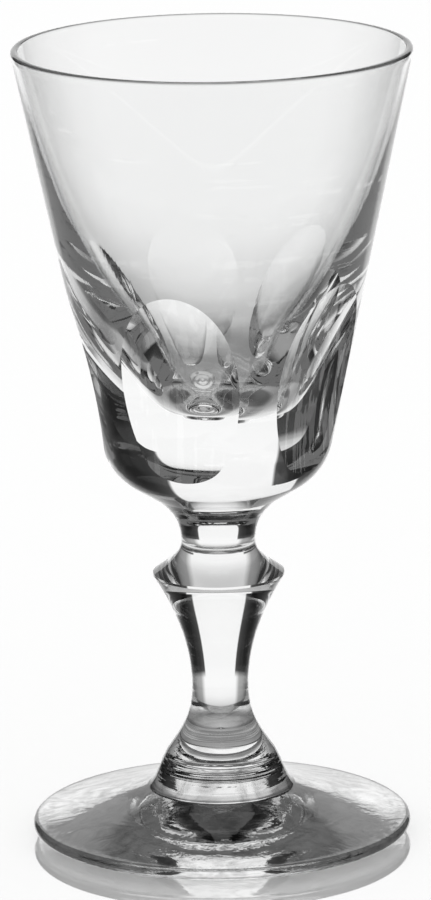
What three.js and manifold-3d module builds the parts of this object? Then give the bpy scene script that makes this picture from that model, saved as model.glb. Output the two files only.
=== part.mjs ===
// A small stemmed liqueur glass in clear crystal: a tapering bowl on a thick solid base, with five
// hollow facets ground round its lower half, a short neck, a stem with a sharp-edged knop, and a
// round foot. Millimetres, +Z up. The origin is the centre of the foot, on the table.
import * as THREE from 'three';
import { mergeVertices } from 'three/addons/utils/BufferGeometryUtils.js';
import Module from 'manifold-3d';

// Foot
const FOOT_RADIUS = 23.9;
const FOOT_EDGE_THICKNESS = 1.5;
const FOOT_EDGE_ROUNDING = 0.8;
const FOOT_HEIGHT = 10;
const FOOT_WELD_RADIUS = 6.8;
const FOOT_FLARE_RADIUS = 9.5;
const FOOT_FLARE_HEIGHT = 5.3;
const REST_RING_WIDTH = 2;
const FOOT_HOLLOW_DEPTH = 0.4;

// Stem, with the knop near its top
const STEM_LENGTH = 27.4;
const STEM_WAIST_RADIUS = 3.55;
const STEM_WAIST_HEIGHT = 8.4;
const KNOP_RADIUS = 8.25;
const KNOP_EDGE_HEIGHT = 23.1;
const KNOP_EDGE_WIDTH = 0.3;

// Neck, between the knop and the bowl
const NECK_LENGTH = 5.6;
const NECK_WAIST_RADIUS = 4.65;
const NECK_TOP_RADIUS = 7.8;

// Bowl, outside: a straight cone that turns in to the neck at its corner
const BOWL_HEIGHT = 57;
const RIM_RADIUS = 24.8;
const BOWL_CORNER_RADIUS = 13.7;
const BOWL_CORNER_HEIGHT = 3.65;
const BOWL_CORNER_ROUNDING = 3.5;

// Bowl, inside: it follows the outer wall down from the lip, leans in more and more towards the
// thick low wall, and ends in a round bottom with a small navel
const RIM_WALL = 0.9;
const LOW_WALL = 5;
const LOW_WALL_HEIGHT = 24;
const LOW_WALL_LEAN = 0.6;
const BASE_THICKNESS = 12.4;
const CUP_FLOOR_RADIUS = 3.2;
const NAVEL_RADIUS = 3;
const NAVEL_DEPTH = 0.6;

// Facets, each ground by the rim of a large wheel that lies along the wall. Bearings are counted
// from the front towards +X. They are uneven because the cutter spaced the facets by eye.
const FACET_BEARINGS_DEG = [-17, 54.5, 126, 193, 263];
const FACET_WHEEL_RADIUS = 50;
const FACET_WHEEL_WIDTH = 24;
const FACET_DEEPEST_HEIGHT = 6.5;
const FACET_CUT_DEPTH = 0.7;

// How each waist curves out to its wide end, as shares of the way from the waist to that end
const STEM_FLARE = { upright: 0.45, bendOut: 0.42, bendAlong: 0.69 };
const LEG_FLARE = { upright: 0.31, bendOut: 0.29, bendAlong: 0.63 };
const KNOP_FLARE = { upright: 0.46, bendOut: 0.35, bendAlong: 0.59 };
const NECK_FLARE = { upright: 0.39, bendOut: 0.3, bendAlong: 0.71 };

// How far the cup's inner curves keep their first direction, as shares of their depth or width
const CUP_ROUNDING = { lip: 0.4, aboveLow: 0.25, belowLow: 0.48, floor: 0.32 };

// How far a rounded edge's two curve handles reach past the plain thickness, as shares of it
const FOOT_EDGE_BULGE = 1 / 3;
const LIP_CROWN = 2 / 3;

// How the top of the foot sweeps up, as shares of its rise and width
const FOOT_SWEEP = { discRise: 0.35, flareIn: 0.4, flareRise: 0.05, bossIn: 0.48, bossRise: 0.5 };
const FOOT_HOLLOW_SHOULDER = 0.6;

// The navel's groove, as shares of its radius
const NAVEL_GROOVE = { deepest: 0.75, inner: 0.5 };

// Fineness of the surfaces
const WIDE_SEGMENTS = 72;
const NARROW_SEGMENTS = 48;
const CURVE_STEPS = 6;
const WHEEL_SEGMENTS = 180;

// Heights of the hot welds that join the pieces
const STEM_BASE = FOOT_HEIGHT;
const NECK_BASE = STEM_BASE + STEM_LENGTH;
const BOWL_BASE = NECK_BASE + NECK_LENGTH;

const wasm = await Module();
wasm.setup();

// Shared corners become one vertex, and the triangles that close up on the axis are left out.
function welded(geometry) {
  geometry.deleteAttribute('normal');
  geometry.deleteAttribute('uv');
  const merged = mergeVertices(geometry, 1e-5);
  const corners = Array.from(merged.index.array);
  const kept = [];
  for (let i = 0; i < corners.length; i += 3) {
    const [a, b, c] = corners.slice(i, i + 3);
    if (a !== b && b !== c && c !== a) {
      kept.push(a, b, c);
    }
  }
  merged.setIndex(kept);
  return merged;
}

// The body that an outline, given as radius and height, makes round the vertical axis.
function turned(outline, segments) {
  const geometry = new THREE.LatheGeometry(outline.getPoints(CURVE_STEPS), segments);
  geometry.rotateX(Math.PI / 2);
  return welded(geometry);
}

function toSolid(geometry) {
  return new wasm.Manifold(new wasm.Mesh({
    numProp: 3,
    vertProperties: new Float32Array(geometry.attributes.position.array),
    triVerts: new Uint32Array(geometry.index.array),
  }));
}

function toGeometry(solid) {
  const mesh = solid.getMesh();
  const geometry = new THREE.BufferGeometry();
  geometry.setAttribute('position', new THREE.BufferAttribute(mesh.vertProperties, 3));
  geometry.setIndex(new THREE.BufferAttribute(mesh.triVerts, 1));
  return geometry;
}

// The two handles of a curve that stands upright at a waist and flares to a wider end.
function flareHandles(waist, end, flare) {
  const along = end.y - waist.y;
  const out = end.x - waist.x;
  return {
    atWaist: new THREE.Vector2(waist.x, waist.y + along * flare.upright),
    atEnd: new THREE.Vector2(waist.x + out * flare.bendOut, waist.y + along * flare.bendAlong),
  };
}

function curveFromWaist(outline, waist, end, flare) {
  const { atWaist, atEnd } = flareHandles(waist, end, flare);
  outline.bezierCurveTo(atWaist.x, atWaist.y, atEnd.x, atEnd.y, end.x, end.y);
}

function curveToWaist(outline, end, waist, flare) {
  const { atWaist, atEnd } = flareHandles(waist, end, flare);
  outline.bezierCurveTo(atEnd.x, atEnd.y, atWaist.x, atWaist.y, waist.x, waist.y);
}

// Foot: a thin disc, faintly hollow below so that it rests on a flat ring. Its top sweeps up into a
// boss, which the stem is welded to.
function footOutline() {
  const ringOuter = FOOT_RADIUS - FOOT_EDGE_ROUNDING;
  const ringInner = ringOuter - REST_RING_WIDTH;
  const hollowShoulder = ringInner * FOOT_HOLLOW_SHOULDER;
  const edgeBulge = FOOT_EDGE_ROUNDING * FOOT_EDGE_BULGE;
  const topRise = FOOT_FLARE_HEIGHT - FOOT_EDGE_THICKNESS;
  const flareIn = FOOT_FLARE_RADIUS - FOOT_WELD_RADIUS;
  const bossRise = FOOT_HEIGHT - FOOT_FLARE_HEIGHT;
  const outline = new THREE.Path();
  outline.moveTo(0, FOOT_HOLLOW_DEPTH);
  outline.quadraticCurveTo(hollowShoulder, FOOT_HOLLOW_DEPTH, ringInner, 0);
  outline.lineTo(ringOuter, 0);
  outline.bezierCurveTo(
    FOOT_RADIUS + edgeBulge, 0,
    FOOT_RADIUS + edgeBulge, FOOT_EDGE_THICKNESS,
    ringOuter, FOOT_EDGE_THICKNESS,
  );
  outline.quadraticCurveTo(
    (ringOuter + FOOT_FLARE_RADIUS) / 2, FOOT_EDGE_THICKNESS + topRise * FOOT_SWEEP.discRise,
    FOOT_FLARE_RADIUS, FOOT_FLARE_HEIGHT,
  );
  outline.bezierCurveTo(
    FOOT_FLARE_RADIUS - flareIn * FOOT_SWEEP.flareIn,
    FOOT_FLARE_HEIGHT + bossRise * FOOT_SWEEP.flareRise,
    FOOT_WELD_RADIUS + flareIn * FOOT_SWEEP.bossIn,
    FOOT_HEIGHT - bossRise * FOOT_SWEEP.bossRise,
    FOOT_WELD_RADIUS, FOOT_HEIGHT,
  );
  outline.lineTo(0, FOOT_HEIGHT);
  return outline;
}

// Stem: flares at its foot weld, narrows to a waist, widens into the knop and comes in sharply
// above the knop's edge to meet the neck.
function stemOutline() {
  const weld = new THREE.Vector2(FOOT_WELD_RADIUS, 0);
  const waist = new THREE.Vector2(STEM_WAIST_RADIUS, STEM_WAIST_HEIGHT);
  const edgeLow = new THREE.Vector2(KNOP_RADIUS, KNOP_EDGE_HEIGHT - KNOP_EDGE_WIDTH / 2);
  const edgeHigh = new THREE.Vector2(KNOP_RADIUS, KNOP_EDGE_HEIGHT + KNOP_EDGE_WIDTH / 2);
  const top = new THREE.Vector2(NECK_WAIST_RADIUS, STEM_LENGTH);
  const outline = new THREE.Path();
  outline.moveTo(0, 0);
  outline.lineTo(weld.x, weld.y);
  curveToWaist(outline, weld, waist, STEM_FLARE);
  curveFromWaist(outline, waist, edgeLow, LEG_FLARE);
  outline.lineTo(edgeHigh.x, edgeHigh.y);
  curveToWaist(outline, edgeHigh, top, KNOP_FLARE);
  outline.lineTo(0, STEM_LENGTH);
  return outline;
}

// Neck: a short collar that stands upright on the knop and flares under the bowl.
function neckOutline() {
  const waist = new THREE.Vector2(NECK_WAIST_RADIUS, 0);
  const top = new THREE.Vector2(NECK_TOP_RADIUS, NECK_LENGTH);
  const outline = new THREE.Path();
  outline.moveTo(0, 0);
  outline.lineTo(waist.x, waist.y);
  curveFromWaist(outline, waist, top, NECK_FLARE);
  outline.lineTo(0, NECK_LENGTH);
  return outline;
}

// The radius of the bowl's straight outer wall at a height above the bowl's weld.
function outerWallRadius(height) {
  const lipHeight = BOWL_HEIGHT - RIM_WALL / 2;
  const share = (height - BOWL_CORNER_HEIGHT) / (lipHeight - BOWL_CORNER_HEIGHT);
  return BOWL_CORNER_RADIUS + (RIM_RADIUS - BOWL_CORNER_RADIUS) * share;
}

// The point a given distance along the way from one point to another.
function pointTowards(from, to, distance) {
  return to.clone().sub(from).setLength(distance).add(from);
}

function bowlOutline() {
  const weld = new THREE.Vector2(NECK_TOP_RADIUS, 0);
  const corner = new THREE.Vector2(BOWL_CORNER_RADIUS, BOWL_CORNER_HEIGHT);
  const lipOuter = new THREE.Vector2(RIM_RADIUS, BOWL_HEIGHT - RIM_WALL / 2);
  const lipInner = new THREE.Vector2(RIM_RADIUS - RIM_WALL, lipOuter.y);
  const lipCrown = lipOuter.y + RIM_WALL * LIP_CROWN;
  const belowCorner = pointTowards(corner, weld, BOWL_CORNER_ROUNDING);
  const aboveCorner = pointTowards(corner, lipOuter, BOWL_CORNER_ROUNDING);
  const low = new THREE.Vector2(outerWallRadius(LOW_WALL_HEIGHT) - LOW_WALL, LOW_WALL_HEIGHT);
  const outerLean = (lipOuter.x - corner.x) / (lipOuter.y - corner.y);
  const upperDepth = lipInner.y - low.y;
  const lowerDepth = low.y - BASE_THICKNESS;
  const floorReach = CUP_FLOOR_RADIUS + (low.x - CUP_FLOOR_RADIUS) * CUP_ROUNDING.floor;
  const outline = new THREE.Path();
  outline.moveTo(0, 0);
  outline.lineTo(weld.x, weld.y);
  outline.lineTo(belowCorner.x, belowCorner.y);
  outline.quadraticCurveTo(corner.x, corner.y, aboveCorner.x, aboveCorner.y);
  outline.lineTo(lipOuter.x, lipOuter.y);
  outline.bezierCurveTo(lipOuter.x, lipCrown, lipInner.x, lipCrown, lipInner.x, lipInner.y);
  outline.bezierCurveTo(
    lipInner.x - outerLean * upperDepth * CUP_ROUNDING.lip,
    lipInner.y - upperDepth * CUP_ROUNDING.lip,
    low.x + LOW_WALL_LEAN * upperDepth * CUP_ROUNDING.aboveLow,
    low.y + upperDepth * CUP_ROUNDING.aboveLow,
    low.x, low.y,
  );
  outline.bezierCurveTo(
    low.x - LOW_WALL_LEAN * lowerDepth * CUP_ROUNDING.belowLow,
    low.y - lowerDepth * CUP_ROUNDING.belowLow,
    floorReach, BASE_THICKNESS,
    CUP_FLOOR_RADIUS, BASE_THICKNESS,
  );
  outline.lineTo(NAVEL_RADIUS, BASE_THICKNESS);
  outline.lineTo(NAVEL_RADIUS * NAVEL_GROOVE.deepest, BASE_THICKNESS - NAVEL_DEPTH);
  outline.lineTo(NAVEL_RADIUS * NAVEL_GROOVE.inner, BASE_THICKNESS);
  outline.lineTo(0, BASE_THICKNESS);
  return outline;
}

// The grinding wheel where it has cut a facet: its axle lies level, square to the facet's bearing.
function wheelAt(bearing) {
  const reach = outerWallRadius(FACET_DEEPEST_HEIGHT) - FACET_CUT_DEPTH + FACET_WHEEL_RADIUS;
  const wheel = new THREE.CylinderGeometry(
    FACET_WHEEL_RADIUS, FACET_WHEEL_RADIUS, FACET_WHEEL_WIDTH, WHEEL_SEGMENTS,
  );
  wheel.rotateZ(Math.PI / 2);
  wheel.translate(0, -reach, FACET_DEEPEST_HEIGHT);
  wheel.rotateZ(bearing);
  return toSolid(welded(wheel));
}

function bowlGeometry() {
  let bowl = toSolid(turned(bowlOutline(), WIDE_SEGMENTS));
  for (const bearing of FACET_BEARINGS_DEG) {
    bowl = bowl.subtract(wheelAt(THREE.MathUtils.degToRad(bearing)));
  }
  return toGeometry(bowl);
}

// Clear glass, fire-polished; the ground facets are polished to the same gloss.
function clearGlass() {
  return new THREE.MeshStandardMaterial({
    color: 0xe9eceb,
    roughness: 0.03,
    metalness: 0,
    transparent: true,
    opacity: 0.35,
  });
}

function piece(name, geometry, height) {
  const mesh = new THREE.Mesh(geometry, clearGlass());
  geometry.computeVertexNormals();
  mesh.name = name;
  mesh.position.z = height;
  return mesh;
}

const liqueurGlass = new THREE.Group();
liqueurGlass.add(piece('foot', turned(footOutline(), WIDE_SEGMENTS), 0));
liqueurGlass.add(piece('stem', turned(stemOutline(), NARROW_SEGMENTS), STEM_BASE));
liqueurGlass.add(piece('neck', turned(neckOutline(), NARROW_SEGMENTS), NECK_BASE));
liqueurGlass.add(piece('bowl', bowlGeometry(), BOWL_BASE));

export default liqueurGlass;
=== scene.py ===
import math

import bmesh
import bpy
from mathutils import Matrix, Vector


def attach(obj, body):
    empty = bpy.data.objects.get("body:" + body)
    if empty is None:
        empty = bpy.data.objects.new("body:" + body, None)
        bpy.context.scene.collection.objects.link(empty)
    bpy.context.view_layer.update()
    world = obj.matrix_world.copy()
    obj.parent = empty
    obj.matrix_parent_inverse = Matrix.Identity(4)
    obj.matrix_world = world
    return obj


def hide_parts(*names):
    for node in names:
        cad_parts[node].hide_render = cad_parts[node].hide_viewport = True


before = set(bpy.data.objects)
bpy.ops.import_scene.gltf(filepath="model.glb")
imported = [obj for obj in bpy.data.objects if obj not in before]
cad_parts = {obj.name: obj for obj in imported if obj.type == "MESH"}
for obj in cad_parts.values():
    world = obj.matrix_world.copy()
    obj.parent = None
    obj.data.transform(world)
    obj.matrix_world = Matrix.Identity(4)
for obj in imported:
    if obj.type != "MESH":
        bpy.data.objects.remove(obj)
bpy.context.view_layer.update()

# A small stemmed liqueur glass in clear crystal. Sizes are millimetres, in the frame of the packed
# model: +Z up, the front towards -Y, the centre of the foot at the origin.
MM = 0.001

# Foot
FOOT_RADIUS = 23.9
FOOT_EDGE_THICKNESS = 1.5
FOOT_EDGE_ROUNDING = 0.8
FOOT_HEIGHT = 10
FOOT_WELD_RADIUS = 6.8
FOOT_FLARE_RADIUS = 9.5
FOOT_FLARE_HEIGHT = 5.3
REST_RING_WIDTH = 2
FOOT_HOLLOW_DEPTH = 0.4

# Stem, with the knop near its top
STEM_LENGTH = 27.4
STEM_WAIST_RADIUS = 3.55
STEM_WAIST_HEIGHT = 8.4
KNOP_RADIUS = 8.25
KNOP_EDGE_HEIGHT = 23.1
KNOP_EDGE_WIDTH = 0.3

# Neck
NECK_LENGTH = 5.6
NECK_WAIST_RADIUS = 4.65
NECK_TOP_RADIUS = 7.8

# Bowl, outside and inside
BOWL_HEIGHT = 57
RIM_RADIUS = 24.8
BOWL_CORNER_RADIUS = 13.7
BOWL_CORNER_HEIGHT = 3.65
BOWL_CORNER_ROUNDING = 3.5
RIM_WALL = 0.9
LOW_WALL = 5
LOW_WALL_HEIGHT = 24
LOW_WALL_LEAN = 0.6
BASE_THICKNESS = 12.4
CUP_FLOOR_RADIUS = 3.2
NAVEL_RADIUS = 3
NAVEL_DEPTH = 0.6
NAVEL_RINGS = 2.5
NAVEL_FADE = 0.5

# Facets: bearings are counted from the front towards +X
FACET_BEARINGS_DEG = (-17, 54.5, 126, 193, 263)
FACET_WHEEL_RADIUS = 50
FACET_WHEEL_WIDTH = 24
FACET_DEEPEST_HEIGHT = 6.5
FACET_CUT_DEPTH = 0.7

# Heights of the hot welds that join the pieces
STEM_BASE = FOOT_HEIGHT
NECK_BASE = STEM_BASE + STEM_LENGTH
BOWL_BASE = NECK_BASE + NECK_LENGTH

# How far the curves keep their first direction, as shares of their height or width
STEM_FLARE = {"upright": 0.45, "bend_out": 0.42, "bend_along": 0.69}
LEG_FLARE = {"upright": 0.31, "bend_out": 0.29, "bend_along": 0.63}
KNOP_FLARE = {"upright": 0.46, "bend_out": 0.35, "bend_along": 0.59}
NECK_FLARE = {"upright": 0.39, "bend_out": 0.3, "bend_along": 0.71}
CUP_ROUNDING = {"lip": 0.4, "above_low": 0.25, "below_low": 0.48, "floor": 0.32}
FOOT_SWEEP = {
    "disc_rise": 0.35,
    "flare_in": 0.4,
    "flare_rise": 0.05,
    "boss_in": 0.48,
    "boss_rise": 0.5,
}
FOOT_HOLLOW_SHOULDER = 0.6

# How far the handles of the round edges stand out, as shares of the rounding and of the wall
FOOT_EDGE_BULGE = 1 / 3
LIP_CROWN = 2 / 3

# Fineness: faces round a body and a wheel, and points along each kind of curve
TURN_STEPS = 256
WHEEL_STEPS = 360
EDGE_STEPS = 24
CORNER_STEPS = 20
SWEEP_STEPS = 32
FLARE_STEPS = 40
LEG_STEPS = 48
NAVEL_STEPS = 30
SHARP_ANGLE = math.radians(10)
SAME_POINT = 1e-7

# What counts as a weld's flat face: how near to its height, and how level
WELD_NEARNESS = 0.001
LEVEL_NORMAL = 0.999


def on_curve(controls, share):
    """The point on a Bezier curve of any degree."""
    points = list(controls)
    while len(points) > 1:
        points = [a.lerp(b, share) for a, b in zip(points, points[1:])]
    return points[0]


class Outline:
    """Half a cross-section, drawn from point to point as radius and height."""

    def __init__(self, radius, height):
        self.points = [Vector((radius, height))]

    def line(self, radius, height):
        self.points.append(Vector((radius, height)))

    def curve(self, steps, *controls):
        start = self.points[-1]
        handles = [start] + [Vector(control) for control in controls]
        for step in range(1, steps + 1):
            self.points.append(on_curve(handles, step / steps))


def flare_handles(waist, end, flare):
    """The two handles of a curve that stands upright at a waist and flares to a wider end."""
    out = end[0] - waist[0]
    along = end[1] - waist[1]
    at_waist = (waist[0], waist[1] + along * flare["upright"])
    at_end = (waist[0] + out * flare["bend_out"], waist[1] + along * flare["bend_along"])
    return at_waist, at_end


def curve_from_waist(outline, waist, end, flare, steps):
    at_waist, at_end = flare_handles(waist, end, flare)
    outline.curve(steps, at_waist, at_end, end)


def curve_to_waist(outline, end, waist, flare, steps):
    at_waist, at_end = flare_handles(waist, end, flare)
    outline.curve(steps, at_end, at_waist, waist)


def point_towards(start, goal, distance):
    start, goal = Vector(start), Vector(goal)
    return start + (goal - start).normalized() * distance


# The four outlines, each with its height counted from the weld that it stands on

def foot_outline():
    """A gently coned disc with a rounded edge, a shallow hollow below and the boss on top."""
    ring_outer = FOOT_RADIUS - FOOT_EDGE_ROUNDING
    ring_inner = ring_outer - REST_RING_WIDTH
    edge_bulge = FOOT_RADIUS + FOOT_EDGE_ROUNDING * FOOT_EDGE_BULGE
    outline = Outline(0, FOOT_HOLLOW_DEPTH)
    outline.curve(
        EDGE_STEPS,
        (ring_inner * FOOT_HOLLOW_SHOULDER, FOOT_HOLLOW_DEPTH),
        (ring_inner, 0),
    )
    outline.line(ring_outer, 0)
    outline.curve(
        EDGE_STEPS,
        (edge_bulge, 0),
        (edge_bulge, FOOT_EDGE_THICKNESS),
        (ring_outer, FOOT_EDGE_THICKNESS),
    )
    disc_middle = (ring_outer + FOOT_FLARE_RADIUS) / 2
    disc_rise = FOOT_FLARE_HEIGHT - FOOT_EDGE_THICKNESS
    outline.curve(
        EDGE_STEPS,
        (disc_middle, FOOT_EDGE_THICKNESS + disc_rise * FOOT_SWEEP["disc_rise"]),
        (FOOT_FLARE_RADIUS, FOOT_FLARE_HEIGHT),
    )
    flare_in = FOOT_FLARE_RADIUS - FOOT_WELD_RADIUS
    boss_rise = FOOT_HEIGHT - FOOT_FLARE_HEIGHT
    outline.curve(
        SWEEP_STEPS,
        (
            FOOT_FLARE_RADIUS - flare_in * FOOT_SWEEP["flare_in"],
            FOOT_FLARE_HEIGHT + boss_rise * FOOT_SWEEP["flare_rise"],
        ),
        (
            FOOT_WELD_RADIUS + flare_in * FOOT_SWEEP["boss_in"],
            FOOT_HEIGHT - boss_rise * FOOT_SWEEP["boss_rise"],
        ),
        (FOOT_WELD_RADIUS, FOOT_HEIGHT),
    )
    outline.line(0, FOOT_HEIGHT)
    return outline


def stem_outline():
    """A leg that flares at both ends, and the sharp-edged knop above it."""
    weld = (FOOT_WELD_RADIUS, 0)
    waist = (STEM_WAIST_RADIUS, STEM_WAIST_HEIGHT)
    edge_low = (KNOP_RADIUS, KNOP_EDGE_HEIGHT - KNOP_EDGE_WIDTH / 2)
    edge_high = (KNOP_RADIUS, KNOP_EDGE_HEIGHT + KNOP_EDGE_WIDTH / 2)
    top = (NECK_WAIST_RADIUS, STEM_LENGTH)
    outline = Outline(0, 0)
    outline.line(*weld)
    curve_to_waist(outline, weld, waist, STEM_FLARE, FLARE_STEPS)
    curve_from_waist(outline, waist, edge_low, LEG_FLARE, LEG_STEPS)
    outline.line(*edge_high)
    curve_to_waist(outline, edge_high, top, KNOP_FLARE, SWEEP_STEPS)
    outline.line(0, STEM_LENGTH)
    return outline


def neck_outline():
    waist = (NECK_WAIST_RADIUS, 0)
    top = (NECK_TOP_RADIUS, NECK_LENGTH)
    outline = Outline(0, 0)
    outline.line(*waist)
    curve_from_waist(outline, waist, top, NECK_FLARE, FLARE_STEPS)
    outline.line(0, NECK_LENGTH)
    return outline


def outer_wall_radius(height):
    """The radius of the bowl's straight outer wall at a height above the bowl's weld."""
    lip_height = BOWL_HEIGHT - RIM_WALL / 2
    share = (height - BOWL_CORNER_HEIGHT) / (lip_height - BOWL_CORNER_HEIGHT)
    return BOWL_CORNER_RADIUS + (RIM_RADIUS - BOWL_CORNER_RADIUS) * share


def bowl_outline():
    """The solid base and the wall, up outside, over the lip and down into the cup."""
    weld = (NECK_TOP_RADIUS, 0)
    corner = (BOWL_CORNER_RADIUS, BOWL_CORNER_HEIGHT)
    lip_height = BOWL_HEIGHT - RIM_WALL / 2
    lip_crown = lip_height + RIM_WALL * LIP_CROWN
    lip_outer = (RIM_RADIUS, lip_height)
    lip_inner = (RIM_RADIUS - RIM_WALL, lip_height)
    low = (outer_wall_radius(LOW_WALL_HEIGHT) - LOW_WALL, LOW_WALL_HEIGHT)
    outer_lean = (RIM_RADIUS - BOWL_CORNER_RADIUS) / (lip_height - BOWL_CORNER_HEIGHT)
    upper_depth = lip_height - LOW_WALL_HEIGHT
    lower_depth = LOW_WALL_HEIGHT - BASE_THICKNESS
    floor_reach = CUP_FLOOR_RADIUS + (low[0] - CUP_FLOOR_RADIUS) * CUP_ROUNDING["floor"]
    outline = Outline(0, 0)
    outline.line(*weld)
    outline.line(*point_towards(corner, weld, BOWL_CORNER_ROUNDING))
    outline.curve(CORNER_STEPS, corner, point_towards(corner, lip_outer, BOWL_CORNER_ROUNDING))
    outline.line(*lip_outer)
    outline.curve(EDGE_STEPS, (RIM_RADIUS, lip_crown), (lip_inner[0], lip_crown), lip_inner)
    outline.curve(
        FLARE_STEPS,
        (
            lip_inner[0] - outer_lean * upper_depth * CUP_ROUNDING["lip"],
            lip_height - upper_depth * CUP_ROUNDING["lip"],
        ),
        (
            low[0] + LOW_WALL_LEAN * upper_depth * CUP_ROUNDING["above_low"],
            low[1] + upper_depth * CUP_ROUNDING["above_low"],
        ),
        low,
    )
    outline.curve(
        SWEEP_STEPS,
        (
            low[0] - LOW_WALL_LEAN * lower_depth * CUP_ROUNDING["below_low"],
            low[1] - lower_depth * CUP_ROUNDING["below_low"],
        ),
        (floor_reach, BASE_THICKNESS),
        (CUP_FLOOR_RADIUS, BASE_THICKNESS),
    )
    navel(outline)
    return outline


def navel(outline):
    """The small rings that the last touch of the tool left in the middle of the cup's floor."""
    outline.line(NAVEL_RADIUS, BASE_THICKNESS)
    for step in range(1, NAVEL_STEPS + 1):
        share = step / NAVEL_STEPS
        wave = (1 - math.cos(share * NAVEL_RINGS * math.tau)) / 2
        fade = 1 - share * NAVEL_FADE
        outline.line(NAVEL_RADIUS * (1 - share), BASE_THICKNESS - NAVEL_DEPTH * wave * fade)


# Turning an outline into a closed body, and cutting the facets

def into_object(bm, name, finish):
    mesh = bpy.data.meshes.new(name)
    bm.to_mesh(mesh)
    bm.free()
    mesh.materials.append(finish)
    made = bpy.data.objects.new(name, mesh)
    bpy.context.scene.collection.objects.link(made)
    return made


def turned(name, outline, base, finish):
    """The body that an outline makes round the upright axis, standing on the height of its weld."""
    bm = bmesh.new()
    points = [bm.verts.new((point.x * MM, 0, (point.y + base) * MM)) for point in outline.points]
    edges = [bm.edges.new(pair) for pair in zip(points, points[1:])]
    bmesh.ops.spin(
        bm,
        geom=points + edges,
        cent=(0, 0, 0),
        axis=(0, 0, 1),
        angle=math.tau,
        steps=TURN_STEPS,
        use_merge=True,
    )
    bmesh.ops.remove_doubles(bm, verts=bm.verts, dist=SAME_POINT)
    bmesh.ops.recalc_face_normals(bm, faces=bm.faces)
    return into_object(bm, name, finish)


def grinding_wheel(bearing, finish):
    """The wheel where it has cut a facet: its axle lies level, square to the facet's bearing."""
    bm = bmesh.new()
    bmesh.ops.create_cone(
        bm,
        cap_ends=True,
        segments=WHEEL_STEPS,
        radius1=FACET_WHEEL_RADIUS * MM,
        radius2=FACET_WHEEL_RADIUS * MM,
        depth=FACET_WHEEL_WIDTH * MM,
    )
    axle_distance = outer_wall_radius(FACET_DEEPEST_HEIGHT) - FACET_CUT_DEPTH + FACET_WHEEL_RADIUS
    place = (
        Matrix.Rotation(bearing, 4, "Z")
        @ Matrix.Translation((0, -axle_distance * MM, (BOWL_BASE + FACET_DEEPEST_HEIGHT) * MM))
        @ Matrix.Rotation(math.pi / 2, 4, "Y")
    )
    bmesh.ops.transform(bm, matrix=place, verts=bm.verts)
    return into_object(bm, "wheel", finish)


def cut_facets(piece, finish):
    wheels = [grinding_wheel(math.radians(bearing), finish) for bearing in FACET_BEARINGS_DEG]
    for wheel in wheels:
        cut = piece.modifiers.new("facet", "BOOLEAN")
        cut.operation = "DIFFERENCE"
        cut.solver = "EXACT"
        cut.material_mode = "TRANSFER"
        cut.object = wheel
    bpy.context.view_layer.update()
    cut_piece = piece.evaluated_get(bpy.context.evaluated_depsgraph_get())
    mesh = bpy.data.meshes.new_from_object(cut_piece)
    piece.modifiers.clear()
    piece.data = mesh
    for wheel in wheels:
        bpy.data.objects.remove(wheel)


def fuse_seams(piece, weld_heights):
    """Gives the flat faces of the welds inside the glass a finish that shows nothing."""
    piece.data.materials.append(SEAM_FINISH)
    seam = len(piece.data.materials) - 1
    for face in piece.data.polygons:
        height = face.center.z / MM
        at_weld = any(abs(height - weld) < WELD_NEARNESS for weld in weld_heights)
        if at_weld and abs(face.normal.z) > LEVEL_NORMAL:
            face.material_index = seam


# Shader maths: arithmetic on a wire adds its Math nodes

class Wire:
    """A node's output, whose arithmetic adds Math nodes to its shop."""

    def __init__(self, shop, socket):
        self.shop = shop
        self.socket = socket

    def math(self, operation, *others):
        values = {index + 1: other for index, other in enumerate(others)}
        return self.shop.node("ShaderNodeMath", {"operation": operation}, {0: self, **values})

    def __add__(self, other):
        return self.math("ADD", other)

    __radd__ = __add__

    def __mul__(self, other):
        return self.math("MULTIPLY", other)

    __rmul__ = __mul__

    def __sub__(self, other):
        return self.math("SUBTRACT", other)

    def __rsub__(self, other):
        return self.shop.node("ShaderNodeMath", {"operation": "SUBTRACT"}, {0: other, 1: self})

    def __gt__(self, other):
        return self.math("GREATER_THAN", other)

    def __abs__(self):
        return self.math("ABSOLUTE")

    def beside(self, *names):
        """Other outputs of the same node, by name."""
        return [Wire(self.shop, self.socket.node.outputs[name]) for name in names]


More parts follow.
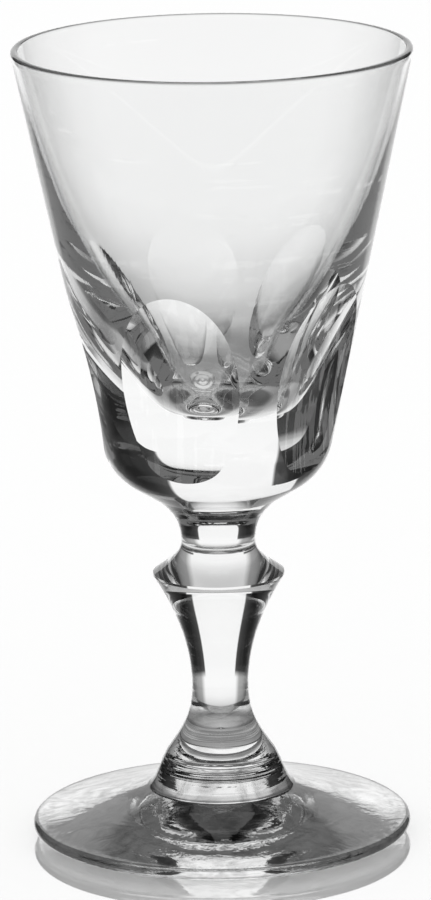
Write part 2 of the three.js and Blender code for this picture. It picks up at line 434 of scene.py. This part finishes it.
class Shop:
    """Makes the nodes of one material or of the world."""

    def __init__(self, tree):
        self.tree = tree
        tree.nodes.clear()

    def node(self, kind, settings=None, inputs=None, output=0):
        """A node of a kind: its settings first, then the values or wires of its sockets."""
        made = self.tree.nodes.new(kind)
        for name, value in (settings or {}).items():
            if name == "stops":
                self.set_stops(made.color_ramp, value)
            else:
                setattr(made, name, value)
        for name, value in (inputs or {}).items():
            if isinstance(value, Wire):
                self.tree.links.new(value.socket, made.inputs[name])
            else:
                made.inputs[name].default_value = value
        return Wire(self, made.outputs[output]) if made.outputs else None

    def set_stops(self, ramp, stops):
        while len(ramp.elements) < len(stops):
            ramp.elements.new(1)
        for element, (position, level) in zip(ramp.elements, stops):
            element.position = position
            element.color = (level, level, level, 1)

    def ramp(self, value, start, end):
        """0 up to the start, 1 from the end on, and a straight slope between."""
        return self.node(
            "ShaderNodeMapRange",
            {"clamp": True},
            {"Value": value, "From Min": start, "From Max": end},
        )

    def band(self, value, limits, unit=1):
        """A ramp between the limits where something sets in and where it is full."""
        return self.ramp(value, limits["from"] * unit, limits["full"] * unit)

    def profile(self, value, stops):
        """A level read off a list of places and levels, straight from one to the next."""
        low, high = stops[0][0], stops[-1][0]
        shares = [((place - low) / (high - low), level) for place, level in stops]
        return self.node("ShaderNodeValToRGB", {"stops": shares}, {"Fac": self.ramp(value, low, high)})

    def noise(self, place, pattern, detail, roughness=0.5, distortion=0):
        return self.node(
            "ShaderNodeTexNoise",
            inputs={
                "Vector": place,
                "Scale": pattern["count"],
                "Detail": detail,
                "Roughness": roughness,
                "Distortion": distortion,
            },
        )

    def streaks(self, place, pattern, detail, roughness=0.5):
        """Noise drawn out up the glass or round it."""
        scale = (pattern["across"], pattern["across"], pattern["up"])
        stretched = self.node("ShaderNodeMapping", inputs={"Vector": place, "Scale": scale})
        return self.noise(stretched, {"count": 1}, detail, roughness)


# Finishes of the glass: nearly colourless, greyer where something marks it, and greyed in patches on
# the foot as painted shade
CRYSTAL_IOR = 1.52
CLEAR_TINT = (0.995, 0.998, 0.997, 1)
MARK_TINT = (1, 1.004, 1.002)
FAINT_MARK = 0.96
# The grey that the foot's mottle takes is painted shade, for the shadow under the foot seen through
# the glass
FOOT_PAINTED_SHADE = 0.45

# Patterns of noise in the glass. The noise changes so many times a metre, either all ways or
# across and up. A pattern sets in from one level of its noise and is full at another. It lifts the
# surface by its height in millimetres, and greys and dulls the glass by its shares.
BOWL_WAVES = {"count": 70, "height": 0.03}
BOWL_WIPES = {
    "across": 25,
    "up": 700,
    "from": 0.6,
    "full": 0.75,
    "height": 0.00012,
    "grey": 0.6,
    "dull": 0.05,
}
BOWL_SMUDGES = {"count": 160, "from": 0.5, "full": 0.65}
BOWL_SPECKS = {"count": 900, "from": 0.83, "full": 0.87, "height": 0.0006}
WHEEL_LINES = {
    "across": 900,
    "up": 60,
    "from": 0.55,
    "full": 0.8,
    "height": 0.0002,
    "grey": 0.4,
    "dull": 0.04,
}
FACET_WAVES = {"count": 140, "height": 0.02}
STEM_RINGS = {"across": 12, "up": 900, "height": 0.0003}
STEM_WAVES = {"count": 160, "height": 0.015}
STEM_SPECKS = {"count": 700, "from": 0.84, "full": 0.88, "dull": 0.1}
FOOT_MOTTLE = {"count": 230, "from": 0.4, "full": 0.68, "height": 0.02}
FOOT_WAVES = {"count": 110, "height": 0.05}
FOOT_SCUFFS = {"count": 1200, "from": 0.45, "full": 0.6, "dull": 0.2}
BOSS_RINGS = {"across": 12, "up": 1000, "height": 0.12}

# Where the boss's rings set in, and where the wear underneath does, in millimetres
BOSS_HEIGHT = {"from": 3.5, "full": 5.8}
WORN_RADIUS = {"from": 20.9, "full": 21.3}
UNWORN_HEIGHT = {"from": 0.1, "full": 0.4}


def new_finish(name):
    finish = bpy.data.materials.new(name)
    finish.use_nodes = True
    return finish, Shop(finish.node_tree)


def object_place(shop):
    return shop.node("ShaderNodeTexCoord", output="Object")


def finish_glass(shop, colour, roughness, height):
    """Clear crystal whose surface is lifted by a height pattern in millimetres."""
    bump = shop.node("ShaderNodeBump", inputs={"Strength": 1, "Distance": MM, "Height": height})
    glass = shop.node(
        "ShaderNodeBsdfPrincipled",
        inputs={
            "Base Color": colour,
            "Roughness": roughness,
            "IOR": CRYSTAL_IOR,
            "Transmission Weight": 1,
            "Normal": bump,
        },
    )
    shop.node("ShaderNodeOutputMaterial", inputs={"Surface": glass})


def tinted(shop, mask, level=FAINT_MARK):
    """Nearly colourless glass, falling to a grey level where the mask is 1."""
    factor, clear, marked, mixed_colour = 0, 6, 7, 2
    mark_colour = [level * part for part in MARK_TINT] + [1]
    return shop.node(
        "ShaderNodeMix",
        {"data_type": "RGBA"},
        {factor: mask, clear: CLEAR_TINT, marked: mark_colour},
        output=mixed_colour,
    )


def bowl_finish():
    """Fire-polished glass with a slow waviness, faint wipe marks and a few dust specks."""
    finish, shop = new_finish("bowl_glass")
    place = object_place(shop)
    waves = shop.noise(place, BOWL_WAVES, detail=1)
    wipes = shop.streaks(place, BOWL_WIPES, detail=4, roughness=0.6)
    smudges = shop.noise(place, BOWL_SMUDGES, detail=5, roughness=0.65)
    marks = shop.band(wipes, BOWL_WIPES) * shop.band(smudges, BOWL_SMUDGES)
    specks = shop.band(shop.noise(place, BOWL_SPECKS, detail=0), BOWL_SPECKS)
    height = (
        waves * BOWL_WAVES["height"]
        + wipes * BOWL_WIPES["height"]
        + specks * BOWL_SPECKS["height"]
    )
    colour = tinted(shop, marks * BOWL_WIPES["grey"] + specks)
    finish_glass(shop, colour, marks * BOWL_WIPES["dull"], height)
    return finish


def facet_finish():
    """Ground and polished glass that keeps the fine lines of the wheel."""
    finish, shop = new_finish("cut_glass")
    place = object_place(shop)
    lines = shop.streaks(place, WHEEL_LINES, detail=3)
    waves = shop.noise(place, FACET_WAVES, detail=1)
    marks = shop.band(lines, WHEEL_LINES)
    height = waves * FACET_WAVES["height"] + lines * WHEEL_LINES["height"]
    colour = tinted(shop, marks * WHEEL_LINES["grey"])
    finish_glass(shop, colour, marks * WHEEL_LINES["dull"], height)
    return finish


def stem_finish():
    """Glass drawn and turned while hot: slow waves, and fine rings round it."""
    finish, shop = new_finish("stem_glass")
    place = object_place(shop)
    rings = shop.streaks(place, STEM_RINGS, detail=2)
    waves = shop.noise(place, STEM_WAVES, detail=1)
    specks = shop.band(shop.noise(place, STEM_SPECKS, detail=0), STEM_SPECKS)
    height = waves * STEM_WAVES["height"] + rings * STEM_RINGS["height"]
    finish_glass(shop, tinted(shop, specks), specks * STEM_SPECKS["dull"], height)
    return finish


def wear_underneath(shop, place, height_up):
    """How dull the foot is where its resting ring has rubbed on tables."""
    radius = shop.node("ShaderNodeVectorMath", {"operation": "LENGTH"}, {0: place}, output="Value")
    scuffs = shop.band(shop.noise(place, FOOT_SCUFFS, detail=2), FOOT_SCUFFS)
    near_table = 1 - shop.band(height_up, UNWORN_HEIGHT, MM)
    on_ring = shop.band(radius, WORN_RADIUS, MM)
    return near_table * on_ring * scuffs * FOOT_SCUFFS["dull"]


def foot_finish():
    """Glass with the soft mottle and the turned rings of its tools, and a dull line of wear. The
    mottle also greys the glass in patches: painted shade for the shadow under the foot, seen through
    it.
    """
    finish, shop = new_finish("foot_glass")
    place = object_place(shop)
    height_up = shop.node("ShaderNodeSeparateXYZ", inputs={"Vector": place}, output="Z")
    mottle = shop.noise(place, FOOT_MOTTLE, detail=2, distortion=2)
    waves = shop.noise(place, FOOT_WAVES, detail=1)
    rings = shop.streaks(place, BOSS_RINGS, detail=2) * shop.band(height_up, BOSS_HEIGHT, MM)
    height = (
        mottle * FOOT_MOTTLE["height"]
        + waves * FOOT_WAVES["height"]
        + rings * BOSS_RINGS["height"]
    )
    # Painted shade: the mottle greys the foot in patches, for the shadow under it seen through the
    # glass
    colour = tinted(shop, shop.band(mottle, FOOT_MOTTLE), FOOT_PAINTED_SHADE)
    finish_glass(shop, colour, wear_underneath(shop, place, height_up), height)
    return finish


def seam_finish():
    """Inside a hot weld the glass is one body, so the seam between two pieces shows nothing."""
    finish, shop = new_finish("fused_seam")
    clear = shop.node("ShaderNodeBsdfTransparent")
    shop.node("ShaderNodeOutputMaterial", inputs={"Surface": clear})
    return finish


# The four pieces

SEAM_FINISH = seam_finish()
STEM_FINISH = stem_finish()


def add_piece(piece, node, weld_heights):
    fuse_seams(piece, weld_heights)
    piece.data.shade_smooth()
    piece.data.set_sharp_from_angle(angle=SHARP_ANGLE)
    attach(piece, "root")
    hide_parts(node)


def make_bowl():
    piece = turned("faceted_bowl", bowl_outline(), BOWL_BASE, bowl_finish())
    cut_facets(piece, facet_finish())
    add_piece(piece, "bowl", [BOWL_BASE])


def make_neck():
    piece = turned("flared_neck", neck_outline(), NECK_BASE, STEM_FINISH)
    add_piece(piece, "neck", [NECK_BASE, BOWL_BASE])


def make_stem():
    piece = turned("knopped_stem", stem_outline(), STEM_BASE, STEM_FINISH)
    add_piece(piece, "stem", [STEM_BASE, NECK_BASE])


def make_foot():
    piece = turned("round_foot", foot_outline(), 0, foot_finish())
    add_piece(piece, "foot", [STEM_BASE])


# The studio that the glass shows

# A white backdrop straight behind, dark sides, a dim front and a pale table, as levels at angles in
# degrees, which are counted sideways from straight back or upwards from level
BACKDROP_SIDEWAYS = [
    (0, 1),
    (22, 1),
    (22.8, 0.08),
    (26, 0.05),
    (31, 0.025),
    (37, 0.012),
    (50, 0.006),
    (180, 0.004),
]
BACKDROP_UPWARDS = [(-12, 1), (28, 1), (32, 0.9), (35, 0.08), (90, 0.04)]
FRONT_UPWARDS = [(-12, 0.8), (0, 0.5), (8, 0.35), (13, 0.02), (90, 0.01)]
FRONT_SIDEWAYS = {"from": 86, "full": 104}
TABLE_UPWARDS = [
    (-90, 0.6),
    (-65, 0.4),
    (-55, 0.25),
    (-45, 0.34),
    (-40, 0.5),
    (-35, 0.62),
    (-32, 0.75),
    (-28.5, 0.82),
    (-24, 0.93),
    (-20, 0.98),
    (-10, 1),
]
TABLE_SIDEWAYS = [
    (0, 1),
    (24, 1),
    (32, 0.4),
    (45, 0.3),
    (60, 0.12),
    (74, 0.2),
    (86, 0.85),
    (180, 0.9),
]
ROOM_UPWARDS = {"from": -12, "full": -9}

# Light that the glass has mirrored inwards more often than this gets one even tone
GUIDED_AFTER = 4.5
GUIDED_TONE = 0.15

# What the outside of the glass mirrors from the front is dimmer than what shows through it
MIRRORED_DIMMING = 0.7
DIMMED_SIDEWAYS = {"from": 60, "full": 90}

# The level between none and one, for counts of what has happened to a ray
ONCE_OR_MORE = 0.5
WHITE = (1, 1, 1, 1)


def directions(shop):
    """How far a ray looks from straight back, and how high it looks, in degrees."""
    looking = shop.node("ShaderNodeTexCoord", output="Generated")
    x, y, z = shop.node("ShaderNodeSeparateXYZ", inputs={"Vector": looking}).beside("X", "Y", "Z")
    sideways = abs(x.math("ARCTAN2", y)) * math.degrees(1)
    up = z.math("ARCSINE") * math.degrees(1)
    return sideways, up


def studio_round(shop, sideways, up):
    """The level of the studio in each direction."""
    backdrop = shop.profile(sideways, BACKDROP_SIDEWAYS) * shop.profile(up, BACKDROP_UPWARDS)
    front = shop.band(sideways, FRONT_SIDEWAYS) * shop.profile(up, FRONT_UPWARDS)
    table = shop.profile(up, TABLE_UPWARDS) * shop.profile(sideways, TABLE_SIDEWAYS)
    above = shop.band(up, ROOM_UPWARDS)
    return (backdrop + front) * above + table * (1 - above)


def make_world():
    """Plain white light for all but the rays that the glass bends or mirrors to the studio."""
    world = bpy.data.worlds.new("studio")
    world.use_nodes = True
    bpy.context.scene.world = world
    shop = Shop(world.node_tree)
    sideways, up = directions(shop)
    scattered_times, inner_turns, passes, is_mirrored = shop.node("ShaderNodeLightPath").beside(
        "Diffuse Depth", "Glossy Depth", "Transmission Depth", "Is Singular Ray"
    )
    scattered = scattered_times > ONCE_OR_MORE
    guided = inner_turns > GUIDED_AFTER
    entered = passes > ONCE_OR_MORE
    mirrored = (1 - entered) * is_mirrored
    through_glass = studio_round(shop, sideways, up) * (1 - guided) + guided * GUIDED_TONE
    dimming = shop.band(sideways, DIMMED_SIDEWAYS) * MIRRORED_DIMMING
    seen = through_glass * (1 - dimming * mirrored)
    plain = scattered.math("MAXIMUM", (1 - entered) * (1 - mirrored))
    background = shop.node(
        "ShaderNodeBackground",
        inputs={"Color": WHITE, "Strength": plain + (1 - plain) * seen},
    )
    shop.node("ShaderNodeOutputWorld", inputs={"Surface": background})


# The table top, as far below the foot as the photograph's reflection puts it
TABLE_DROP = 1.1
TABLE_RADIUS = 3000
TABLE_STEPS = 96
TABLE_WHITE = (0.98, 0.98, 0.98, 1)
TABLE_SHEEN = {"share": 0.62, "roughness": 0.03}


def table_finish():
    """White lacquer, glossy enough to show the foot's reflection."""
    finish, shop = new_finish("white_lacquer")
    first, second = 1, 2
    white = shop.node("ShaderNodeBsdfDiffuse", inputs={"Color": TABLE_WHITE})
    sheen = shop.node(
        "ShaderNodeBsdfGlossy", inputs={"Color": WHITE, "Roughness": TABLE_SHEEN["roughness"]}
    )
    mixed = shop.node(
        "ShaderNodeMixShader", inputs={"Fac": TABLE_SHEEN["share"], first: white, second: sheen}
    )
    shop.node("ShaderNodeOutputMaterial", inputs={"Surface": mixed})
    return finish


def make_table():
    """The table shows to the camera, while the glass shows the studio's table instead."""
    bm = bmesh.new()
    bmesh.ops.create_circle(bm, cap_ends=True, segments=TABLE_STEPS, radius=TABLE_RADIUS * MM)
    bmesh.ops.translate(bm, verts=bm.verts, vec=(0, 0, -TABLE_DROP * MM))
    table = into_object(bm, "table_top", table_finish())
    table.visible_transmission = False
    table.visible_glossy = False


# The camera, where the photograph's was
CAMERA_DISTANCE = 720.4
CAMERA_HEIGHT = 226.8
CAMERA_AIM = (-0.2, 0, 48.86)
CAMERA_ROLL = math.radians(-0.789)
CAMERA_LENS = 237.3
CAMERA_FILM = 36
CAMERA_NEAREST = 10


def make_camera():
    place = Vector((0, -CAMERA_DISTANCE, CAMERA_HEIGHT))
    forward = (Vector(CAMERA_AIM) - place).normalized()
    right = forward.cross(Vector((0, 0, 1))).normalized()
    up = right.cross(forward)
    level = Matrix((right, up, -forward)).transposed()
    data = bpy.data.cameras.new("camera")
    data.sensor_fit = "AUTO"
    data.sensor_width = CAMERA_FILM
    data.lens = CAMERA_LENS
    data.clip_start = CAMERA_NEAREST * MM
    camera = bpy.data.objects.new("camera", data)
    camera.matrix_world = (
        Matrix.Translation(place * MM) @ level.to_4x4() @ Matrix.Rotation(CAMERA_ROLL, 4, "Z")
    )
    bpy.context.scene.collection.objects.link(camera)
    bpy.context.scene.camera = camera


# Light paths, long because glass this thick turns black when they end early
ALL_BOUNCES = 64
GLASS_BOUNCES = 32


def lengthen_light_paths():
    cycles = bpy.context.scene.cycles
    cycles.max_bounces = ALL_BOUNCES
    cycles.glossy_bounces = GLASS_BOUNCES
    cycles.transmission_bounces = GLASS_BOUNCES
    cycles.transparent_max_bounces = GLASS_BOUNCES


make_bowl()
make_neck()
make_stem()
make_foot()
make_world()
make_table()
make_camera()
lengthen_light_paths()
bpy.context.scene.view_settings.view_transform = "Standard"
